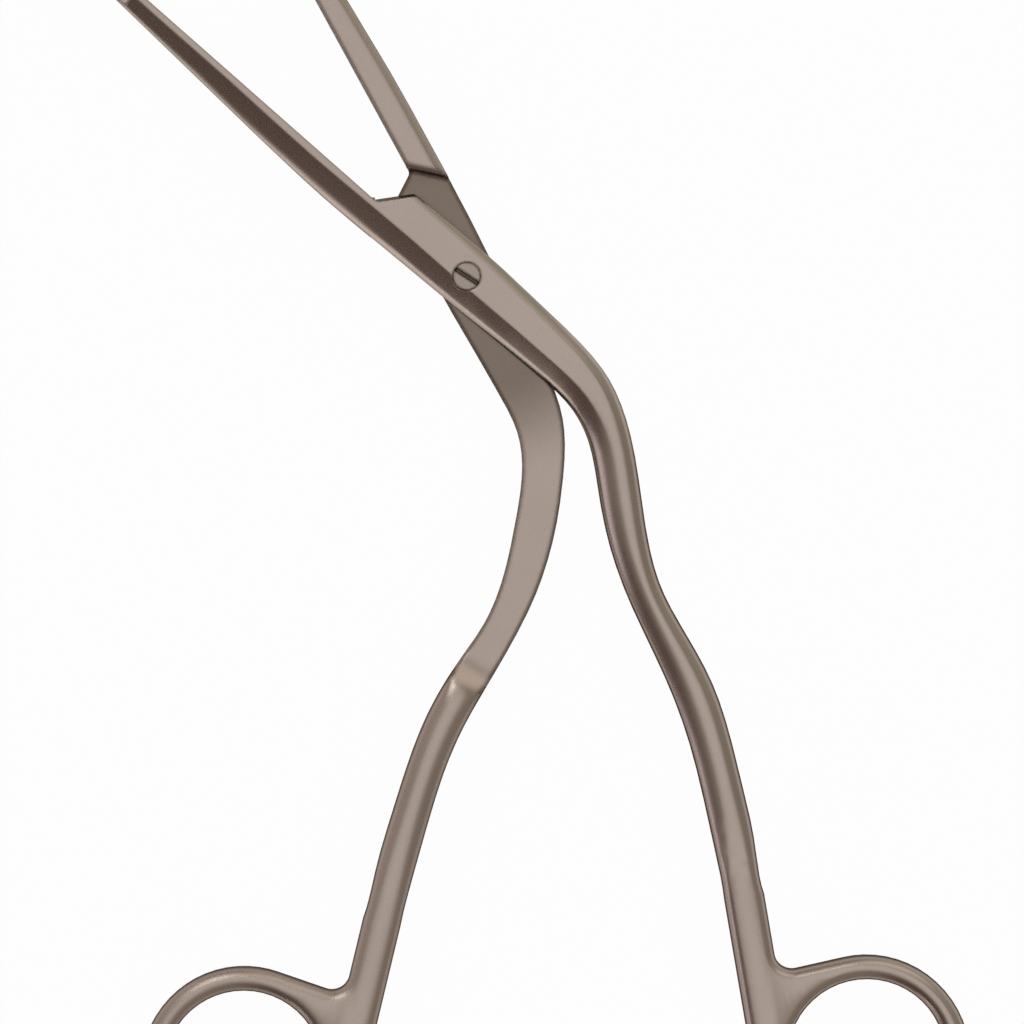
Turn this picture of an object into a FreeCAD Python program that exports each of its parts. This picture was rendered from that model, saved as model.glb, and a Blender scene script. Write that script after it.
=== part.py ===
import FreeCAD, Part
import math
import os

# Angled intubation forceps: two forged stainless halves that cross in a lap joint on one slotted screw.
# Frame: origin on the screw's axis at the lock's lower face, +Z up, +Y towards the jaw tips.
# Each half is modelled in its own frame first: origin on the screw's axis at the middle of the lock,
# X from the screw towards the handle, Y towards the side of the mating jaw, Z away from the lap face.

# Lock and screw, in millimetres
LOCK_THICKNESS = 8.0
LAP_GAP = 0.06
HEAD_DIAMETER = 4.6
HEAD_HEIGHT = 1.6
HEAD_CLEARANCE = 0.05
SLOT_WIDTH = 0.7
SLOT_DEPTH = 0.8
SLOT_ANGLE = -33.0
SCREW_DIAMETER = 3.2
RUNNING_CLEARANCE = 0.05
THREAD_CLEARANCE = 0.01

# Where each half points in the open pose, as the angle of its X axis
FRONT_HEADING = -41.5
REAR_HEADING = -61.9

# End face of each lock half, and the shoulder on the other half that it closes against
FRONT_END_FACE = (-19.7, 40.0)
REAR_END_FACE = (-20.0, 35.0)
END_FACE_ROUND = 1.2
END_FACE_DRAFT = 10.0
SHOULDER_CLEARANCE = 0.45
SHOULDER_ROUND = 1.1
EDGE_BREAK = 0.3

# Jaw tips: fenestrated ovals with cross serrations
JAW_LENGTH = 95.0
TIP_LENGTH = 19.0
TIP_HEIGHT = 8.0
TIP_THICKNESS = 3.15
TIP_END_THICKNESS = 1.9
TIP_END_ROUND = 0.8
TIP_NECK_HEIGHT = 4.0
TIP_NECK_LENGTH = 13.0
TIP_NECK_BLEND = 5.0
TIP_EDGE_ROUND = 0.6
WINDOW_LENGTH = 10.5
WINDOW_HEIGHT = 3.8
SERRATION_PITCH = 1.1
SERRATION_DEPTH = 0.32
SERRATION_MARGIN = 1.3

# Ring handles
RING_RADIUS = 13.2
RING_STRAIGHT = 0.8
RING_BAR = 4.0
RING_THICKNESS = 5.0
RING_ROUND = RING_BAR * 0.39
VALLEY_ROUND = 3.0

# Distance from the screw by which every arm has the ring's own section
SHANK_END = 115.0

# Lap face: how far along the shank it runs and the ramp that ends it
RAMP_START = 70.0
RAMP_LENGTH = 5.5

# Middle line of each arm from the screw to the ring: runs of (length, turn in degrees)
FRONT_RUNS = [(21.2, 0.0), (17.4, -38.6), (12.5, 0.0), (17.9, 18.6), (5.0, 0.0), (16.2, -13.6), (26.3, -5.2)]
REAR_RUNS = [(20.8, 0.0), (16.0, 36.4), (6.4, 0.0), (25.2, 25.4), (3.4, 0.0), (17.8, -15.4), (26.0, -4.8)]

# Plan width either side of the middle line: (distance from the screw, width)
FRONT_OUTER = [(-78, 3.95), (-50, 5.15), (-36, 5.75), (-24, 5.85), (0, 5.1), (13, 4.55), (22, 4.35), (29, 3.9),
               (35, 3.5), (48, 3.45), (57, 3.1), (66, 2.8), (73, 3.15), (80, 3.45), (117, 3.35)]
FRONT_INNER = [(-78, 1.5), (-24, 4.25), (-16, 4.5), (0, 5.0), (13, 4.65), (22, 4.3), (29, 3.9),
               (35, 3.5), (48, 3.45), (57, 3.1), (66, 2.8), (73, 3.15), (80, 3.45), (117, 3.35)]
REAR_OUTER = [(-78, 2.55), (-50, 4.13), (-36, 4.85), (-19, 5.1), (-10, 5.13), (0, 4.85), (13, 4.5), (22, 4.3),
              (29, 3.85), (35, 3.45), (45, 3.4), (55, 3.05), (61, 2.75), (68, 3.0), (76, 3.25), (87, 3.1), (117, 3.2)]
REAR_INNER = [(-78, 2.2), (-24, 4.4), (-16, 4.7), (0, 5.1), (13, 4.65), (22, 4.4),
              (29, 3.85), (35, 3.45), (45, 3.4), (55, 3.05), (61, 2.75), (68, 3.0), (76, 3.25), (87, 3.1), (117, 3.2)]

# Mating face of each jaw: its Y at the screw and at the tip
FRONT_JAW_FACE = (-0.62, -0.70)
REAR_JAW_FACE = (0.0, 0.95)

# Every round edge is three flats, 22.5 degrees apart: the leg of the middle one carried on to the sides, as a share
# of the round's size, and how near each side and how far along it the flats meet
FIRST_STEP = 0.7312
SECOND_STEP = 1 - FIRST_STEP
NEAR = SECOND_STEP * math.sqrt(0.5)
FAR = FIRST_STEP - NEAR

# Where a roll's two flats meet, as shares of the way ahead to its corner and then down
ROLL_AHEAD = 0.649
ROLL_DOWN = 0.351

# Half thickness of the forged blank: (distance, height)
BLANK_HEIGHT = [(-78, 2.1), (-24, LOCK_THICKNESS / 2), (13, LOCK_THICKNESS / 2), (22, 3.9), (35, 3.45), (50, 3.0),
                (66, 2.7), (80, RING_THICKNESS / 2), (SHANK_END, RING_THICKNESS / 2)]

# Long edges of the blank: (distance, run across, drop, bulge), bulge 0 a flat bevel and 1 a full quarter round
BEVEL = [(-78, 0.3, 0.3, 0.2), (-17, 0.7, 0.5, 0.2), (-8, 0.9, 0.7, 0.2), (0, 1.2, 0.9, 0.2), (13, 1.5, 1.1, 0.3),
         (22, 1.7, 1.4, 0.6), (35, 1.9, 1.8, 1.0), (66, 1.9, 1.9, 1.0), (80, 2.1, 1.9, 1.0), (100, 2.0, 1.8, 1.0),
         (SHANK_END, RING_ROUND, RING_ROUND, 1.0)]
LAP_OUTER = [(-78, 0.9, 0.8, 0.3), (-24, 1.15, 1.0, 0.3), (0, 1.2, 1.0, 0.3), (22, 2.0, 1.8, 0.8),
             (50, 2.5, 2.0, 1.0), (66, 2.5, 1.9, 1.0), (100, 2.3, 1.8, 1.0), (SHANK_END, RING_ROUND, RING_ROUND, 1.0)]
LAP_INNER = [(-78, 0.3, 0.3, 0.3), (0, 0.4, 0.4, 0.3), (22, 2.0, 1.8, 0.8), (50, 2.2, 2.0, 1.0),
             (66, 2.1, 1.9, 1.0), (100, 2.1, 1.8, 1.0), (SHANK_END, RING_ROUND, RING_ROUND, 1.0)]

# Flank: a facet, then a rolled edge: (distance, run to the facet's top, drop, width of the roll, its fall)
FLANK = [(-78, 2.2, 0.9, 0.6, 0.6), (-50, 3.4, 1.3, 1.2, 1.0), (-24, 4.0, 1.7, 1.4, 1.3),
         (-12, 4.0, 1.8, 1.2, 1.2), (0, 3.6, 1.7, 1.0, 1.2), (13, 3.3, 1.6, 1.0, 1.3),
         (22, 3.1, 1.5, 1.0, 1.4), (35, 3.2, 1.3, 0.9, 1.5), (50, 3.2, 1.1, 0.8, 1.6),
         (66, 3.0, 0.9, 0.7, 1.6), (80, 3.2, 0.9, 0.7, 1.5), (100, 3.0, 0.8, 0.65, 1.5),
         (SHANK_END, RING_ROUND, RING_ROUND * NEAR, RING_ROUND * FAR, RING_ROUND * (1 - NEAR))]

# Ring from the end of the shank: its centre ahead along it, how far its web stands out past a plain ring,
# and the slope of the neck that joins them
FRONT_RING = (29.95, 1.75, 3.0)
REAR_RING = (29.4, 2.6, 5.5)

# The blank runs a little way into the tip, and its sections stand about this far apart
BLANK_OVERLAP = 2.0
BLANK_START = TIP_LENGTH - JAW_LENGTH - BLANK_OVERLAP
STATION_GAP = 9.0

# Well past the object in any direction, and distances that count as none
REACH = 150.0
JOIN_TOLERANCE = 0.002
SAME_PLACE = 1e-5


def vec(x, y, z=0.0):
    return FreeCAD.Vector(x, y, z)


def at(table, distance):
    """Values of a table at a distance, in straight lines between its rows."""
    rows = [(row[0], row[1:]) for row in table]
    if distance <= rows[0][0]:
        return rows[0][1]
    for (d0, low), (d1, high) in zip(rows, rows[1:]):
        if distance <= d1:
            share = (distance - d0) / (d1 - d0)
            return tuple(a + share * (b - a) for a, b in zip(low, high))
    return rows[-1][1]


def walk(runs, distance):
    """Point and heading, in degrees, at a distance along the middle line."""
    x, y, heading = min(distance, 0.0), 0.0, 0.0
    left = max(distance, 0.0)
    for length, turn in runs:
        step = min(left, length)
        a0 = math.radians(heading)
        a1 = math.radians(heading + turn * step / length)
        if turn:
            radius = length / math.radians(turn)
            x += radius * (math.sin(a1) - math.sin(a0))
            y += radius * (math.cos(a0) - math.cos(a1))
        else:
            x += step * math.cos(a0)
            y += step * math.sin(a0)
        heading = math.degrees(a1)
        left -= step
        if left <= 0:
            break
    return x, y, heading


def run_length(runs):
    return sum(length for length, turn in runs)


def frame_at(runs, distance):
    x, y, heading = walk(runs, distance)
    return FreeCAD.Placement(vec(x, y), FreeCAD.Rotation(vec(0, 0, 1), heading))


def line(a, b):
    return Part.LineSegment(a, b).toShape()


def arc(centre, radius, start, end):
    """Arc about a centre between two angles in degrees."""
    turns = [math.radians(a) for a in (start, (start + end) / 2, end)]
    return Part.Arc(*[centre + vec(radius * math.cos(t), radius * math.sin(t)) for t in turns]).toShape()


def eased(start, corner, end, bulge):
    """Points of an edge between two sides of a section, from a flat bevel to a round in three flats."""
    points = [start]
    for share, ahead, down in ((1 / 3, 1 - FAR, NEAR), (2 / 3, 1 - NEAR, FAR)):
        flat = start + (end - start) * share
        rounded = start + (corner - start) * ahead + (end - corner) * down
        points.append(flat + (rounded - flat) * bulge)
    return points + [end]


def flank_edge(outer, height, flank):
    """Points of the flank: its facet, then the roll that continues it down to the side."""
    run, drop, roll, fall = flank
    top = vec(0, run - outer, height)
    facet_end = vec(0, roll - outer, height - drop)
    heading = facet_end - top
    corner = facet_end + heading * (roll / abs(heading.y))
    side = vec(0, -outer, height - drop - fall)
    return [top, facet_end, facet_end + (corner - facet_end) * ROLL_AHEAD + (side - corner) * ROLL_DOWN, side]


def section(outer, inner, height, bevel, lap_inner, lap_outer, flank, placement):
    """Closed outline across an arm: four sides and their shaped edges."""
    points = []
    corners = ((inner, height, bevel), (inner, -height, lap_inner), (-outer, -height, lap_outer))
    for y, z, (run, drop, bulge) in corners:
        corner = vec(0, y, z)
        across = vec(0, y - math.copysign(run, y), z)
        down = vec(0, y, z - math.copysign(drop, z))
        start, end = (across, down) if y * z > 0 else (down, across)
        points += eased(start, corner, end, bulge)
    points += flank_edge(outer, height, flank)[::-1]
    outline = Part.makePolygon(points + points[:1])
    outline.Placement = placement
    return outline


def prism(points, low, high):
    """Upright prism on a closed outline of points."""
    face = Part.Face(Part.makePolygon([vec(x, y, low) for x, y in points + points[:1]]))
    return face.extrude(vec(0, 0, high - low))


def blank(half):
    """Forged blank from the jaw to the ring: one loft along the middle line."""
    end = run_length(half["runs"])
    count = int(round((end - BLANK_START) / STATION_GAP))
    wires = []
    for distance in [BLANK_START + (end - BLANK_START) * k / count for k in range(count + 1)]:
        outer, = at(half["outer"], distance)
        inner, = at(half["inner"], distance)
        height, = at(BLANK_HEIGHT, distance)
        edges = [at(table, distance) for table in (BEVEL, LAP_INNER, LAP_OUTER, FLANK)]
        wires.append(section(outer, inner, height, *edges, frame_at(half["runs"], distance)))
    return Part.makeLoft(wires, True, False)


def face_y(half, x):
    at_screw, at_tip = half["jaw_face"]
    return at_screw + (at_tip - at_screw) * x / -JAW_LENGTH


def lean_x(line_across, y):
    """X of a leaning line across the arm, given as its X on the middle line and its lean, at Y."""
    x, lean = line_across
    return x + y * math.tan(math.radians(lean))


def drafted(outline, point, lean, draft):
    """Tall prism whose side through the point, which leans across the arm, is also tilted from upright."""
    block = prism(outline, -REACH, REACH)
    along = vec(math.sin(math.radians(lean)), math.cos(math.radians(lean)))
    block.rotate(point, along, draft)
    return block


def jaw_relief(half):
    """What is cleared beside the jaw, so that the lock's end face and the jaw's mating face are left."""
    wide = LOCK_THICKNESS * 2
    end_x, lean = half["end_face"]
    beside = prism([(-REACH, face_y(half, -REACH)), (0, face_y(half, 0)), (0, wide), (-REACH, wide)], -wide, wide)
    beyond = drafted([(lean_x(half["end_face"], -wide), -wide), (lean_x(half["end_face"], wide), wide),
                      (-REACH * 2, wide), (-REACH * 2, -wide)], vec(end_x, 0), lean, END_FACE_DRAFT)
    block = beside.common(beyond)
    corner = [e for e in block.Edges if abs(e.CenterOfMass.y - face_y(half, e.CenterOfMass.x)) < SAME_PLACE
              and abs(e.CenterOfMass.x - end_x) < END_FACE_ROUND]
    return block.makeFillet(END_FACE_ROUND, corner)


def lap_cut(half):
    """What is milled off below the lap face, from the shoulder to the ramp."""
    level = LAP_GAP / 2
    deep = LOCK_THICKNESS
    foot, = at(BLANK_HEIGHT, RAMP_START + RAMP_LENGTH)
    slope = (foot + level) / RAMP_LENGTH
    outline = [vec(-REACH, -REACH, level), vec(0, -REACH, level), vec(deep / slope, -REACH, level - deep),
               vec(-REACH, -REACH, level - deep)]
    band = Part.Face(Part.makePolygon(outline + outline[:1])).extrude(vec(0, 2 * REACH, 0))
    band.Placement = frame_at(half["runs"], RAMP_START)
    end_x, lean = half["meets"]
    shoulder = end_x - SHOULDER_CLEARANCE / math.cos(math.radians(lean))
    edge_z = -LOCK_THICKNESS / 2
    middle = SHOULDER_ROUND * (1 - math.sqrt(0.5))
    jaw_side = Part.Face(Part.Wire([
        line(vec(0, 0, REACH), vec(0, 0, edge_z + SHOULDER_ROUND)),
        Part.Arc(vec(0, 0, edge_z + SHOULDER_ROUND), vec(-middle, 0, edge_z + middle),
                 vec(-SHOULDER_ROUND, 0, edge_z)).toShape(),
        line(vec(-SHOULDER_ROUND, 0, edge_z), vec(-SHOULDER_ROUND, 0, -REACH)),
        line(vec(-SHOULDER_ROUND, 0, -REACH), vec(-REACH, 0, -REACH)),
        line(vec(-REACH, 0, -REACH), vec(-REACH, 0, REACH)),
        line(vec(-REACH, 0, REACH), vec(0, 0, REACH)),
    ])).extrude(vec(0, 2 * REACH, 0))
    jaw_side.translate(vec(0, -REACH, 0))
    jaw_side.rotate(vec(0, 0, 0), vec(0, 0, 1), lean)
    jaw_side.translate(vec(shoulder, 0, 0))
    return band.cut(jaw_side)


def rims_at(solid, heights):
    """Edges that lie level at one of these heights above or below the middle, apart from the open end's."""
    return [e for e in solid.Edges if e.BoundBox.ZLength < SAME_PLACE and e.BoundBox.XMax > SAME_PLACE
            and any(abs(abs(e.CenterOfMass.z) - height) < SAME_PLACE for height in heights)]


def rounded_ring(solid):
    """Rounds every rim of a handle end in the same three flats as the shank's edges."""
    top = RING_THICKNESS / 2
    step = RING_ROUND * FIRST_STEP
    solid = solid.makeChamfer(step, rims_at(solid, [top]))
    return solid.makeChamfer(RING_ROUND * SECOND_STEP, rims_at(solid, [top, top - step]))


def handle_end(half):
    """Ring handle and the end of the shank that flows into it, in the frame of the shank's end."""
    end = run_length(half["runs"])
    left, = at(half["inner"], end)
    right, = at(half["outer"], end)
    ahead, stand_out, slope = half["ring"]
    around = RING_RADIUS + RING_BAR
    web = around + stand_out
    aside = web - right
    low = ahead + RING_STRAIGHT
    flow = low + around - web
    tilt = math.radians(slope)
    neck_start = vec(ahead - around * math.cos(tilt), aside - around * math.sin(tilt))
    to_ring = vec(-math.sin(tilt), math.cos(tilt))
    crotch = neck_start - to_ring * ((neck_start.y - left) / math.cos(tilt))
    setback = VALLEY_ROUND / math.tan((math.pi / 2 - tilt) / 2)
    valley = crotch + vec(-setback, VALLEY_ROUND)
    outline = Part.Wire([
        line(vec(0, -right), vec(flow, -right)),
        arc(vec(flow, aside), web, 270, 360),
        arc(vec(low, aside), around, 0, 90),
        line(vec(low, aside + around), vec(ahead, aside + around)),
        arc(vec(ahead, aside), around, 90, 180 + slope),
        line(neck_start, crotch + to_ring * setback),
        arc(valley, VALLEY_ROUND, slope, -90),
        line(crotch + vec(-setback, 0), vec(0, left)),
        line(vec(0, left), vec(0, -right)),
    ])
    opening = Part.Wire([
        arc(vec(low, aside), RING_RADIUS, -90, 90),
        line(vec(low, aside + RING_RADIUS), vec(ahead, aside + RING_RADIUS)),
        arc(vec(ahead, aside), RING_RADIUS, 90, 270),
        line(vec(ahead, aside - RING_RADIUS), vec(low, aside - RING_RADIUS)),
    ])
    plate = Part.Face(outline).extrude(vec(0, 0, RING_THICKNESS))
    hole = Part.Face(opening).extrude(vec(0, 0, RING_THICKNESS))
    solid = plate.cut(hole)
    solid.translate(vec(0, 0, -RING_THICKNESS / 2))
    return rounded_ring(solid)


def serrations(half, first, last):
    """Cross grooves in the mating face of a tip, as one compound of V cuts."""
    count = int((last - first) // SERRATION_PITCH)
    cuts = []
    for k in range(count):
        x = first + (k + 0.5) * SERRATION_PITCH
        y = face_y(half, x)
        outline = [(x - SERRATION_PITCH / 2, y + EDGE_BREAK), (x, y - SERRATION_DEPTH),
                   (x + SERRATION_PITCH / 2, y + EDGE_BREAK)]
        cuts.append(prism(outline, -TIP_HEIGHT, TIP_HEIGHT))
    return Part.makeCompound(cuts)


def jaw_tip(half):
    """Fenestrated oval at the end of a jaw."""
    centre = -JAW_LENGTH + TIP_LENGTH / 2
    root = centre + TIP_NECK_LENGTH
    oval = Part.Face(Part.Wire(Part.Ellipse(vec(centre, 0), TIP_LENGTH / 2, TIP_HEIGHT / 2).toShape()))
    neck = Part.makePlane(TIP_NECK_LENGTH, TIP_NECK_HEIGHT, vec(centre, -TIP_NECK_HEIGHT / 2, 0))
    plate = oval.extrude(vec(0, 0, REACH)).fuse(neck.extrude(vec(0, 0, REACH))).removeSplitter()
    crotches = [e for e in plate.Edges if abs(e.Length - REACH) < SAME_PLACE
                and centre < e.CenterOfMass.x < root - SAME_PLACE
                and abs(abs(e.CenterOfMass.y) - TIP_NECK_HEIGHT / 2) < SAME_PLACE]
    plate = plate.makeFillet(TIP_NECK_BLEND, crotches)
    window = Part.Face(Part.Wire(Part.Ellipse(vec(centre, 0), WINDOW_LENGTH / 2, WINDOW_HEIGHT / 2).toShape()))
    plate = plate.cut(window.extrude(vec(0, 0, REACH)))
    plate.translate(vec(0, 0, -REACH / 2))
    plate.rotate(vec(0, 0, 0), vec(1, 0, 0), 90)
    back = Part.Arc(vec(root, face_y(half, root) - TIP_THICKNESS),
                    vec(centre, face_y(half, centre) - TIP_THICKNESS),
                    vec(-JAW_LENGTH, face_y(half, -JAW_LENGTH) - TIP_END_THICKNESS)).toShape()
    outline = Part.Wire([
        back,
        line(vec(-JAW_LENGTH, face_y(half, -JAW_LENGTH) - TIP_END_THICKNESS),
             vec(-JAW_LENGTH, face_y(half, -JAW_LENGTH))),
        line(vec(-JAW_LENGTH, face_y(half, -JAW_LENGTH)), vec(root, face_y(half, root))),
        line(vec(root, face_y(half, root)), vec(root, face_y(half, root) - TIP_THICKNESS)),
    ])
    side = Part.Face(outline).extrude(vec(0, 0, TIP_HEIGHT * 2))
    side.translate(vec(0, 0, -TIP_HEIGHT))
    tip = plate.common(side)
    teeth = serrations(half, -JAW_LENGTH + SERRATION_MARGIN, centre + TIP_LENGTH / 2 - SERRATION_MARGIN)
    return tip.cut(teeth)


def pivot_hole(half):
    """Clearance for the screw: a counterbored running hole in the front half, a plain one in the rear."""
    half_lock = LOCK_THICKNESS / 2
    radius = SCREW_DIAMETER / 2 + half["hole_clearance"]
    hole = Part.makeCylinder(radius, LOCK_THICKNESS * 2, vec(0, 0, -LOCK_THICKNESS))
    if not half["head_seat"]:
        return hole
    seat = Part.makeCylinder(HEAD_DIAMETER / 2 + HEAD_CLEARANCE, LOCK_THICKNESS,
                             vec(0, 0, half_lock - HEAD_HEIGHT - HEAD_CLEARANCE))
    return hole.fuse(seat)


def forceps_half(half):
    body = blank(half)
    body = body.cut(jaw_relief(half))
    body = body.cut(lap_cut(half))
    handle = handle_end(half)
    handle.Placement = frame_at(half["runs"], run_length(half["runs"]))
    body = body.fuse([handle, jaw_tip(half)], JOIN_TOLERANCE)
    body = body.cut(pivot_hole(half))
    return body.removeSplitter()


def placed(body, heading, flipped):
    """Turns a half from its own frame to where it lies, the rear one with its lap face up."""
    if flipped:
        body.rotate(vec(0, 0, 0), vec(1, 0, 0), 180)
    body.rotate(vec(0, 0, 0), vec(0, 0, 1), heading)
    body.translate(vec(0, 0, LOCK_THICKNESS / 2))
    return body


def pivot_screw():
    head = Part.makeCylinder(HEAD_DIAMETER / 2, HEAD_HEIGHT, vec(0, 0, LOCK_THICKNESS - HEAD_HEIGHT))
    shank = Part.makeCylinder(SCREW_DIAMETER / 2, LOCK_THICKNESS - HEAD_HEIGHT / 2)
    slot = Part.makeBox(HEAD_DIAMETER * 2, SLOT_WIDTH, SLOT_DEPTH * 2,
                        vec(-HEAD_DIAMETER, -SLOT_WIDTH / 2, LOCK_THICKNESS - SLOT_DEPTH))
    slot.rotate(vec(0, 0, 0), vec(0, 0, 1), SLOT_ANGLE)
    return head.fuse(shank).cut(slot).removeSplitter()


FRONT = {"runs": FRONT_RUNS, "outer": FRONT_OUTER, "inner": FRONT_INNER, "jaw_face": FRONT_JAW_FACE,
         "end_face": FRONT_END_FACE, "meets": REAR_END_FACE, "ring": FRONT_RING,
         "hole_clearance": RUNNING_CLEARANCE, "head_seat": True}
REAR = {"runs": REAR_RUNS, "outer": REAR_OUTER, "inner": REAR_INNER, "jaw_face": REAR_JAW_FACE,
        "end_face": REAR_END_FACE, "meets": FRONT_END_FACE, "ring": REAR_RING,
        "hole_clearance": THREAD_CLEARANCE, "head_seat": False}

os.makedirs("parts", exist_ok=True)
pieces = {
    "front_half": placed(forceps_half(FRONT), FRONT_HEADING, False),
    "rear_half": placed(forceps_half(REAR), REAR_HEADING, True),
    "pivot_screw": pivot_screw(),
}
for name, shape in pieces.items():
    print(name, shape.isValid(), len(shape.Solids), round(shape.Volume, 1), shape.BoundBox)
    shape.exportStep("parts/" + name + ".step")
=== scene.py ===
import math

import bpy
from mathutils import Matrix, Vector


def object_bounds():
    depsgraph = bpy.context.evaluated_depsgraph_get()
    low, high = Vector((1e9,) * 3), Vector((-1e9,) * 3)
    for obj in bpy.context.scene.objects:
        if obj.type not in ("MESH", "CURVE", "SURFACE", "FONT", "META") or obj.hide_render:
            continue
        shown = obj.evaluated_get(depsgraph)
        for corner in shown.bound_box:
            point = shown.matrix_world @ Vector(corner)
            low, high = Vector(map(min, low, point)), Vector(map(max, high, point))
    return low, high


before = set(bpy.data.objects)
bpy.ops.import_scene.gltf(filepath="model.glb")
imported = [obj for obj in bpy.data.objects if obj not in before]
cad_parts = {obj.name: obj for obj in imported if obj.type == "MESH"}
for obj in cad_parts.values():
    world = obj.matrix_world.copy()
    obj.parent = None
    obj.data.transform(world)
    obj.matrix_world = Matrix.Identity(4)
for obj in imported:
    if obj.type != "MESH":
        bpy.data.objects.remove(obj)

cad_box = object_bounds()

# Photograph: its scale, the pixel that the screw's axis falls on, and the lens it is rendered with
IMAGE_SIDE = 1024
PIXELS_PER_MM = 6.0
PIVOT_PIXEL = (467.0, 277.4)
MM_PER_M = 1000
LENS = 180.0
SENSOR = 36.0
OUTLINE_HEIGHT = 0.004

# Colours, linear. Satin steel is clouded between light and dark, pits darken it and wear brightens it; one dark colour
# also paints shade on steep sides, crisp edges and the slot floor
WHITE = (1.0, 1.0, 1.0, 1.0)
STEEL_LIGHT = (0.440, 0.366, 0.321, 1.0)
STEEL_DARK = (0.398, 0.327, 0.284, 1.0)
SCREW_LIGHT = (0.400, 0.335, 0.295, 1.0)
SCREW_DARK = (0.310, 0.255, 0.220, 1.0)
WORN = (0.560, 0.500, 0.455, 1.0)
# Dark colour of pits in the grain, also used as painted shade on steep sides, crisp edges and the slot floor
PIT_AND_SHADE_DARK = (0.110, 0.080, 0.062, 1.0)
GRAZING_TINT = (0.10, 0.09, 0.08, 1.0)
LAP_SHADE = (0.50, 0.48, 0.46, 1.0)

# Clouds and grain of the steel: noise scales per metre, and the parts of the grain that are pits and scuffs
CLOUD_SCALE = 90.0
CLOUD_DETAIL = 3.0
CLOUD_ROUGHNESS = 0.55
GRAIN_SCALE = 2600.0
GRAIN_DETAIL = 2.0
GRAIN_ROUGHNESS = 0.6
GRAIN_STRENGTH = 0.04
GRAIN_DEPTH = 0.00003
PITS = (0.62, 0.85)
PIT_SHARE = 0.25
SCUFFS = (0.45, 0.60)
SCUFF_SHARE = 0.5
GLOSS_SPREAD = (-0.04, 0.05)

# Crisp edges: how well the rounded normal still matches the true one where painted shade and then wear set in
EDGE_SAMPLES = 6
EDGE_SHADE_MATCH = (0.99, 0.90)
WEAR_MATCH = (0.90, 0.76)

# Painted shade on the steep sides: how upright the normal is, and the way from the lock to the handles
STEEP = (0.80, 0.35)
TOWARDS_HANDLE = (-0.018, -0.034)
SIDE_SHADE_SHARE = 0.6

# Painted shade on the floor of the screw's slot, by height
SLOT_HEIGHTS = (0.0077, 0.0074)

# Rear lap face: its height, and the distances from the screw between which it goes from light to painted shade, darker
# towards the lock
LAP_LEVEL = 0.00397
LAP_BAND = 0.00006
LAP_SHADE_DISTANCES = (0.036, 0.018)

# Shading: creases above an angle stay crisp at the jaws and the lock, and run soft along the handles
CRISP = math.radians(18)
SOFT = math.radians(50)
SOFT_FROM = 0.020
SOFT_TO = 0.038
SAME_PLACE_DIGITS = 7

FLOOR_WHITE = (0.93, 0.93, 0.93, 1.0)
FLOOR_GLOW = 0.97
FLOOR_SIZE = 3.0
FLOOR_GAP = 0.0001

# Studio, as soft lobes laid one over another on the sky: (towards, cosines where it starts and is full, colour)
SKY = (0.390, 0.355, 0.315, 1.0)
LOBES = [
    ((0.60, 0.75, 0.30), (0.70, 0.95), (0.500, 0.510, 0.430, 1.0)),
    ((-0.90, 0.50, 0.45), (0.72, 0.93), (0.560, 0.500, 0.470, 1.0)),
    ((-0.62, -0.70, 0.44), (0.74, 0.94), (0.140, 0.108, 0.094, 1.0)),
    ((-0.68, -0.73, 0.00), (0.970, 0.995), (2.000, 1.900, 1.850, 1.0)),
    ((-1.00, -0.20, 0.26), (0.965, 0.992), (1.250, 1.150, 1.300, 1.0)),
    ((0.32, 0.72, 0.62), (0.90, 0.98), (1.100, 1.050, 0.980, 1.0)),
    ((-0.28, 0.58, 0.77), (0.970, 0.992), (3.000, 3.050, 3.050, 1.0)),
    ((0.02, 0.02, 1.00), (0.86, 0.975), (0.980, 0.980, 0.980, 1.0)),
]


def node(tree, kind, inputs=None, **settings):
    """A shader node with its settings and input values."""
    made = tree.nodes.new(kind)
    for name, value in settings.items():
        setattr(made, name, value)
    for name, value in (inputs or {}).items():
        made.inputs[name].default_value = value
    return made


def plug(tree, value, socket):
    """Links a socket, or sets a plain value."""
    if isinstance(value, bpy.types.NodeSocket):
        tree.links.new(value, socket)
    else:
        socket.default_value = value


def math_node(tree, operation, *values):
    """Sum, product or the like of the values."""
    made = node(tree, "ShaderNodeMath", operation=operation)
    for socket, value in zip(made.inputs, values):
        plug(tree, value, socket)
    return made.outputs[0]


def vector_measure(tree, operation, *vectors):
    """Length of a vector, or dot product of two."""
    made = node(tree, "ShaderNodeVectorMath", operation=operation)
    for socket, vector in zip(made.inputs, vectors):
        plug(tree, vector, socket)
    return made.outputs["Value"]


def mix(tree, factor, a, b, blend="MIX"):
    """Colour mix from a to b."""
    made = node(tree, "ShaderNodeMix", data_type="RGBA", blend_type=blend)
    first, second = [socket for socket in made.inputs if socket.type == "RGBA"]
    plug(tree, factor, made.inputs["Factor"])
    plug(tree, a, first)
    plug(tree, b, second)
    return next(socket for socket in made.outputs if socket.type == "RGBA")


def ramp(tree, value, span):
    """Eased 0 to 1 as a value goes from the span's start to its end."""
    limits = {"From Min": span[0], "From Max": span[1]}
    made = node(tree, "ShaderNodeMapRange", limits, interpolation_type="SMOOTHSTEP")
    tree.links.new(value, made.inputs["Value"])
    return made.outputs[0]


def noise(tree, place, scale, detail, roughness):
    """Fractal noise over an object's own coordinates."""
    made = node(tree, "ShaderNodeTexNoise", {"Scale": scale, "Detail": detail, "Roughness": roughness})
    tree.links.new(place, made.inputs["Vector"])
    return made.outputs["Fac"]


def split(tree, vector):
    """The X, Y and Z of a vector."""
    parts = node(tree, "ShaderNodeSeparateXYZ")
    tree.links.new(vector, parts.inputs[0])
    return parts.outputs


def fresh_material(name):
    """An empty node material and its tree."""
    material = bpy.data.materials.new(name)
    material.use_nodes = True
    material.node_tree.nodes.clear()
    return material, material.node_tree


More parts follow.
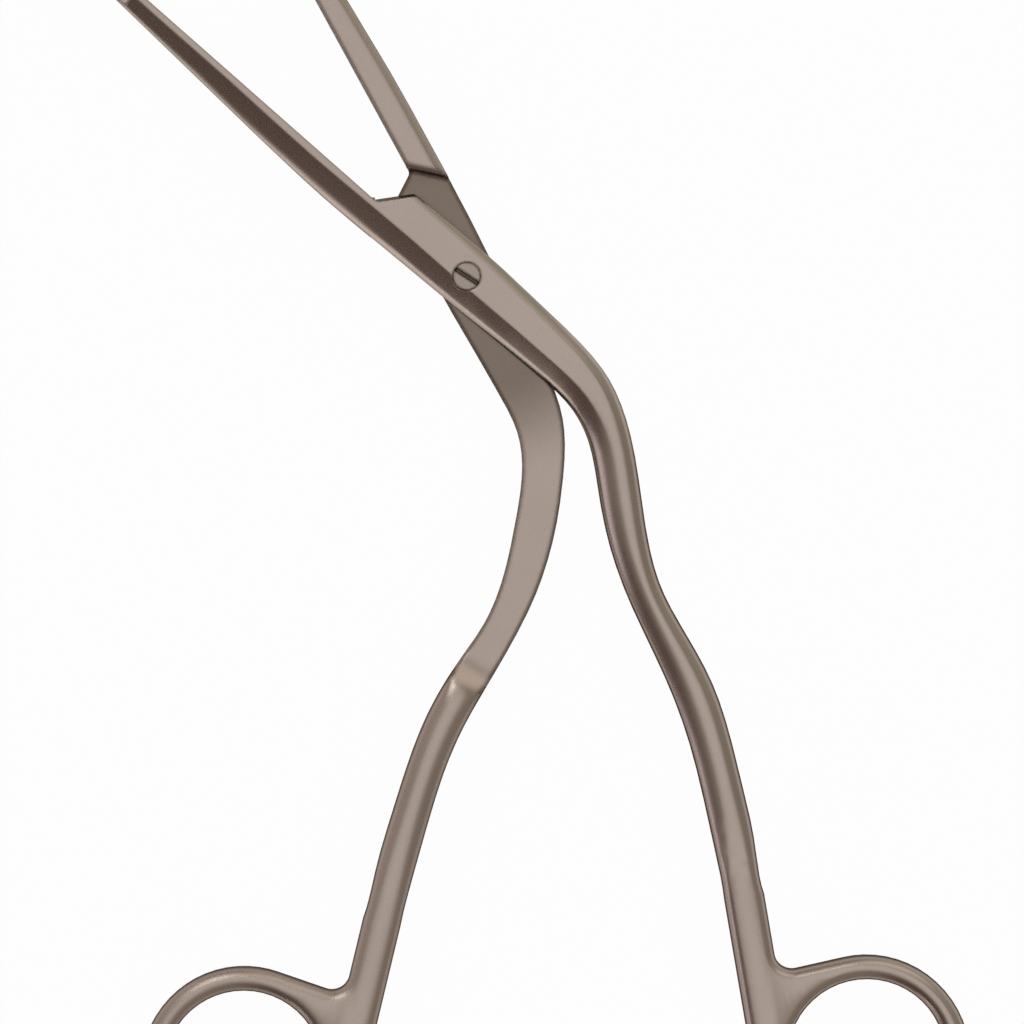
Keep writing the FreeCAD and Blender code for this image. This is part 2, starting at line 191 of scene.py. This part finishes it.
def crisp_edge(tree, radius):
    """The rounded normal near crisp edges, and how well it still matches the true one."""
    rounded = node(tree, "ShaderNodeBevel", {"Radius": radius}, samples=EDGE_SAMPLES).outputs[0]
    true = node(tree, "ShaderNodeNewGeometry").outputs["Normal"]
    return rounded, vector_measure(tree, "DOT_PRODUCT", rounded, true)


def painted_side_shade(tree, place, colour):
    """Paints shade on the steep sides of the shank and ring, more towards the handles."""
    normal = node(tree, "ShaderNodeTexCoord").outputs["Normal"]
    upright = math_node(tree, "ABSOLUTE", split(tree, normal)["Z"])
    handle = ramp(tree, split(tree, place)["Y"], TOWARDS_HANDLE)
    shade_amount = math_node(tree, "MULTIPLY", ramp(tree, upright, STEEP), handle)
    return mix(tree, math_node(tree, "MULTIPLY", shade_amount, SIDE_SHADE_SHARE), colour, PIT_AND_SHADE_DARK)


def lap_painted_shade(tree, place, colour):
    """Paints shade on the steep sides, and on the milled lap face, darker towards the lock."""
    colour = painted_side_shade(tree, place, colour)
    parts = split(tree, place)
    off_level = math_node(tree, "ABSOLUTE", math_node(tree, "SUBTRACT", parts["Z"], LAP_LEVEL))
    on_face = math_node(tree, "LESS_THAN", off_level, LAP_BAND)
    flat = node(tree, "ShaderNodeCombineXYZ")
    tree.links.new(parts["X"], flat.inputs["X"])
    tree.links.new(parts["Y"], flat.inputs["Y"])
    near = ramp(tree, vector_measure(tree, "LENGTH", flat.outputs[0]), LAP_SHADE_DISTANCES)
    return mix(tree, math_node(tree, "MULTIPLY", on_face, near), colour, LAP_SHADE, "MULTIPLY")


def slot_painted_shade(tree, place, colour):
    """Paints shade on the floor of the screw's slot."""
    return mix(tree, ramp(tree, split(tree, place)["Z"], SLOT_HEIGHTS), colour, PIT_AND_SHADE_DARK)


def steel(name, light, dark, roughness, edge_radius, edge_shade, shade_paint):
    """Satin steel: clouded colour, fine grain, painted shade and wear along crisp edges, and varied gloss."""
    material, tree = fresh_material(name)
    out = node(tree, "ShaderNodeOutputMaterial")
    shader = node(tree, "ShaderNodeBsdfPrincipled", {"Metallic": 1.0, "Specular Tint": GRAZING_TINT})
    tree.links.new(shader.outputs[0], out.inputs[0])
    place = node(tree, "ShaderNodeTexCoord").outputs["Object"]

    colour = mix(tree, noise(tree, place, CLOUD_SCALE, CLOUD_DETAIL, CLOUD_ROUGHNESS), dark, light)
    grain = noise(tree, place, GRAIN_SCALE, GRAIN_DETAIL, GRAIN_ROUGHNESS)
    pitted = math_node(tree, "MULTIPLY", ramp(tree, grain, PITS), PIT_SHARE)
    # The look's painted shade: on steep sides, the lap face or the slot floor
    colour = shade_paint(tree, place, mix(tree, pitted, colour, PIT_AND_SHADE_DARK))
    rounded, match = crisp_edge(tree, edge_radius)
    edge_shaded = math_node(tree, "MULTIPLY", ramp(tree, match, EDGE_SHADE_MATCH), edge_shade)
    scuffed = math_node(tree, "MULTIPLY", ramp(tree, match, WEAR_MATCH), ramp(tree, grain, SCUFFS))
    # Painted shade along crisp edges, then wear where the grain scuffs them
    colour = mix(tree, edge_shaded, colour, PIT_AND_SHADE_DARK)
    colour = mix(tree, math_node(tree, "MULTIPLY", scuffed, SCUFF_SHARE), colour, WORN)
    tree.links.new(colour, shader.inputs["Base Color"])

    smooth, rough = [roughness + change for change in GLOSS_SPREAD]
    gloss = node(tree, "ShaderNodeMapRange", {"To Min": smooth, "To Max": rough})
    tree.links.new(grain, gloss.inputs["Value"])
    tree.links.new(gloss.outputs[0], shader.inputs["Roughness"])

    bump = node(tree, "ShaderNodeBump", {"Strength": GRAIN_STRENGTH, "Distance": GRAIN_DEPTH})
    tree.links.new(grain, bump.inputs["Height"])
    tree.links.new(rounded, bump.inputs["Normal"])
    tree.links.new(bump.outputs[0], shader.inputs["Normal"])
    return material


def floor_material():
    """White floor: glows for what sees it directly or mirrors it, and still takes the object's shadow."""
    material, tree = fresh_material("floor_white")
    out = node(tree, "ShaderNodeOutputMaterial")
    paths = node(tree, "ShaderNodeLightPath").outputs
    mirrored = math_node(tree, "MAXIMUM", paths["Is Glossy Ray"], paths["Is Transmission Ray"])
    seen = math_node(tree, "MAXIMUM", paths["Is Camera Ray"], mirrored)
    paint = node(tree, "ShaderNodeBsdfDiffuse", {"Color": FLOOR_WHITE})
    glow = node(tree, "ShaderNodeEmission", {"Color": WHITE, "Strength": 1.0})
    both = node(tree, "ShaderNodeMixShader")
    tree.links.new(math_node(tree, "MULTIPLY", seen, FLOOR_GLOW), both.inputs[0])
    tree.links.new(paint.outputs[0], both.inputs[1])
    tree.links.new(glow.outputs[0], both.inputs[2])
    tree.links.new(both.outputs[0], out.inputs[0])
    return material


def assign(obj, material):
    """Gives an object one material."""
    obj.data.materials.clear()
    obj.data.materials.append(material)


def softness(point):
    """0 where creases stay crisp, at the jaws and the lock, to 1 along the handles."""
    share = (point.xy.length - SOFT_FROM) / (SOFT_TO - SOFT_FROM)
    share = min(max(share, 0.0), 1.0) if point.y < 0 else 0.0
    return share * share * (3 - 2 * share)


def corners(mesh, face):
    """Each vertex of a face with the angle that the face's two edges make there."""
    ring = list(face.vertices)
    places = [mesh.vertices[index].co for index in ring]
    for k, index in enumerate(ring):
        ahead = places[(k + 1) % len(ring)] - places[k]
        behind = places[k - 1] - places[k]
        yield index, ahead.angle(behind, 0.0)


def set_shading(obj):
    """Shading normals from the faces that meet at a point: by area up to the crisp angle, by corner up to the soft."""
    mesh = obj.data
    points = [tuple(round(c, SAME_PLACE_DIGITS) for c in vertex.co) for vertex in mesh.vertices]
    meeting = {}
    for face in mesh.polygons:
        for index, corner in corners(mesh, face):
            meeting.setdefault(points[index], []).append((face.normal.copy(), face.area, corner))
    normals = []
    for face in mesh.polygons:
        for index in face.vertices:
            crisp, soft = Vector(), Vector()
            for normal, area, corner in meeting[points[index]]:
                alike = normal.dot(face.normal)
                if alike > math.cos(CRISP):
                    crisp += normal * area
                if alike > math.cos(SOFT):
                    soft += normal * corner
            share = softness(mesh.vertices[index].co)
            normals.append(crisp.normalized().lerp(soft.normalized(), share).normalized())
    mesh.normals_split_custom_set(normals)


def floor():
    """Square floor just under the object."""
    half = FLOOR_SIZE / 2
    mesh = bpy.data.meshes.new("floor")
    mesh.from_pydata([(-half, -half, 0), (half, -half, 0), (half, half, 0), (-half, half, 0)], [], [(0, 1, 2, 3)])
    obj = bpy.data.objects.new("floor", mesh)
    bpy.context.scene.collection.objects.link(obj)
    obj.location = (0, 0, cad_box[0].z - FLOOR_GAP)
    assign(obj, floor_material())


def studio_world():
    """Soft studio: a bright panel overhead, dim walls that differ a little from side to side."""
    world = bpy.data.worlds.new("studio")
    bpy.context.scene.world = world
    world.use_nodes = True
    tree = world.node_tree
    tree.nodes.clear()
    out = node(tree, "ShaderNodeOutputWorld")
    direction = node(tree, "ShaderNodeTexCoord").outputs["Generated"]
    colour = SKY
    for towards, span, light in LOBES:
        facing = vector_measure(tree, "DOT_PRODUCT", direction, Vector(towards).normalized())
        colour = mix(tree, ramp(tree, facing, span), colour, light)
    seen = node(tree, "ShaderNodeLightPath").outputs["Is Camera Ray"]
    back = node(tree, "ShaderNodeBackground", {"Strength": 1.0})
    tree.links.new(mix(tree, seen, colour, WHITE), back.inputs["Color"])
    tree.links.new(back.outputs[0], out.inputs[0])


def camera():
    """Straight above the photograph's middle."""
    pixels_per_m = PIXELS_PER_MM * MM_PER_M
    x = (IMAGE_SIDE / 2 - PIVOT_PIXEL[0]) / pixels_per_m
    y = (PIVOT_PIXEL[1] - IMAGE_SIDE / 2) / pixels_per_m
    data = bpy.data.cameras.new("camera")
    data.lens = LENS
    data.sensor_width = SENSOR
    obj = bpy.data.objects.new("camera", data)
    bpy.context.scene.collection.objects.link(obj)
    obj.location = (x, y, OUTLINE_HEIGHT + IMAGE_SIDE / pixels_per_m * LENS / SENSOR)
    bpy.context.scene.camera = obj


HALF = {"light": STEEL_LIGHT, "dark": STEEL_DARK}
LOOKS = {
    "front_half": steel("front_steel", **HALF, roughness=0.26, edge_radius=0.0006, edge_shade=0.3, shade_paint=painted_side_shade),
    "rear_half": steel("rear_steel", **HALF, roughness=0.28, edge_radius=0.0014, edge_shade=0.9, shade_paint=lap_painted_shade),
    "pivot_screw": steel("screw_steel", light=SCREW_LIGHT, dark=SCREW_DARK, roughness=0.28, edge_radius=0.0006,
                         edge_shade=0.9, shade_paint=slot_painted_shade),
}
for name, look in LOOKS.items():
    assign(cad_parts[name], look)
    set_shading(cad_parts[name])

floor()
studio_world()
camera()
bpy.context.scene.view_settings.view_transform = "Standard"
